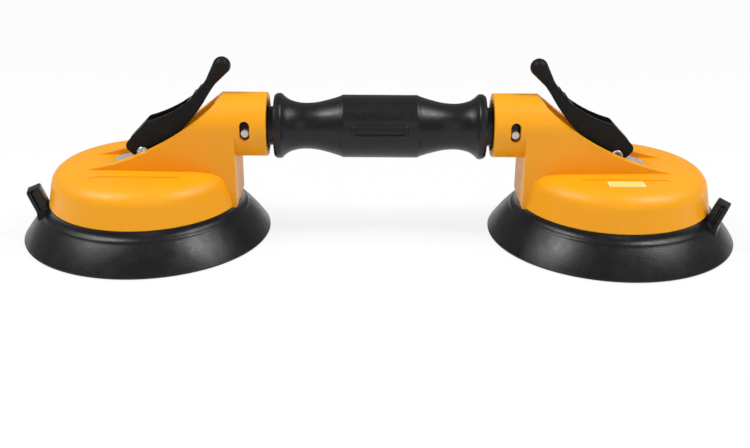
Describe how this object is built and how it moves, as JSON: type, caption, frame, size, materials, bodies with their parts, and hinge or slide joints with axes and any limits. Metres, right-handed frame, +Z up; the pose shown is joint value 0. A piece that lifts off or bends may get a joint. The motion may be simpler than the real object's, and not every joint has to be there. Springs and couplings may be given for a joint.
{
  "type": "floor tile suction lifter",
  "caption": "Two-headed hand suction lifter for floor tiles: a straight grip joins round rubber pads under plastic housings, each with a cam lever that draws the pad up.",
  "frame": {"origin": "on the floor, midway between the two cup axes, at the plane of the sealing lips", "axes": "+X along the handle towards the right head, +Y to the rear, +Z up"},
  "size_m": [0.349, 0.12, 0.0875],
  "materials": {
    "housing_plastic": "satin, fine moulded grain, yellow-orange",
    "lever_plastic": "satin black",
    "grip_plastic": "satin black, soft sheen",
    "pad_rubber": "matt dark rubber",
    "plate_steel": "flat light grey, finely brushed",
    "pin_steel": "bright turned ends",
    "core_steel": "dull zinc plated",
    "label_film": "pale yellow blank film"
  },
  "bodies": {
    "handle": {"grip_sleeve": "grip_plastic", "handle_tube": "core_steel", "left_handle_end": "lever_plastic", "right_handle_end": "lever_plastic"},
    "left_pin": {"left_cross_pin": "pin_steel"},
    "left_head": {"left_housing": "housing_plastic", "left_pad": "pad_rubber", "left_wear_plate": "plate_steel"},
    "left_draw": {"left_draw_lug": "core_steel", "left_core_disc": "core_steel"},
    "left_cam_lever": {"left_lever": "lever_plastic", "left_lever_pin": "pin_steel"},
    "right_pin": {"right_cross_pin": "pin_steel"},
    "right_head": {"right_housing": "housing_plastic", "right_pad": "pad_rubber", "right_wear_plate": "plate_steel", "right_label": "label_film"},
    "right_draw": {"right_draw_lug": "core_steel", "right_core_disc": "core_steel"},
    "right_cam_lever": {"right_lever": "lever_plastic", "right_lever_pin": "pin_steel"}
  },
  "joints": [
    {"name": "left_head_tilt", "type": "hinge", "parent": "handle", "child": "left_pin", "pos_m": [-0.0635, 0, 0.054], "axis": [0, 1, 0], "range_deg": [-7, 7]},
    {"name": "left_head_roll", "type": "hinge", "parent": "left_pin", "child": "left_head", "pos_m": [-0.0635, 0, 0.054], "axis": [1, 0, 0], "range_deg": [-4.5, 4.5]},
    {"name": "left_draw_lift", "type": "slide", "parent": "left_head", "child": "left_draw", "axis": [0, 0, 1], "range_m": [0, 0.0042], "deforming": ["left_pad"]},
    {"name": "left_lever_swing", "type": "hinge", "parent": "left_draw", "child": "left_cam_lever", "pos_m": [-0.1137, 0, 0.0421], "axis": [0, -1, 0], "range_deg": [0, 133.5]},
    {"name": "right_head_tilt", "type": "hinge", "parent": "handle", "child": "right_pin", "pos_m": [0.0635, 0, 0.054], "axis": [0, 1, 0], "range_deg": [-7, 7]},
    {"name": "right_head_roll", "type": "hinge", "parent": "right_pin", "child": "right_head", "pos_m": [0.0635, 0, 0.054], "axis": [1, 0, 0], "range_deg": [-4.5, 4.5]},
    {"name": "right_draw_lift", "type": "slide", "parent": "right_head", "child": "right_draw", "axis": [0, 0, 1], "range_m": [0, 0.0042], "deforming": ["right_pad"]},
    {"name": "right_lever_swing", "type": "hinge", "parent": "right_draw", "child": "right_cam_lever", "pos_m": [0.1137, 0, 0.0421], "axis": [0, 1, 0], "range_deg": [0, 133.5]}
  ],
  "couplings": [
    {"joint": "left_lever_swing", "follows": "left_draw_lift", "rad_per_m": 554.76},
    {"joint": "right_lever_swing", "follows": "right_draw_lift", "rad_per_m": 554.76}
  ]
}
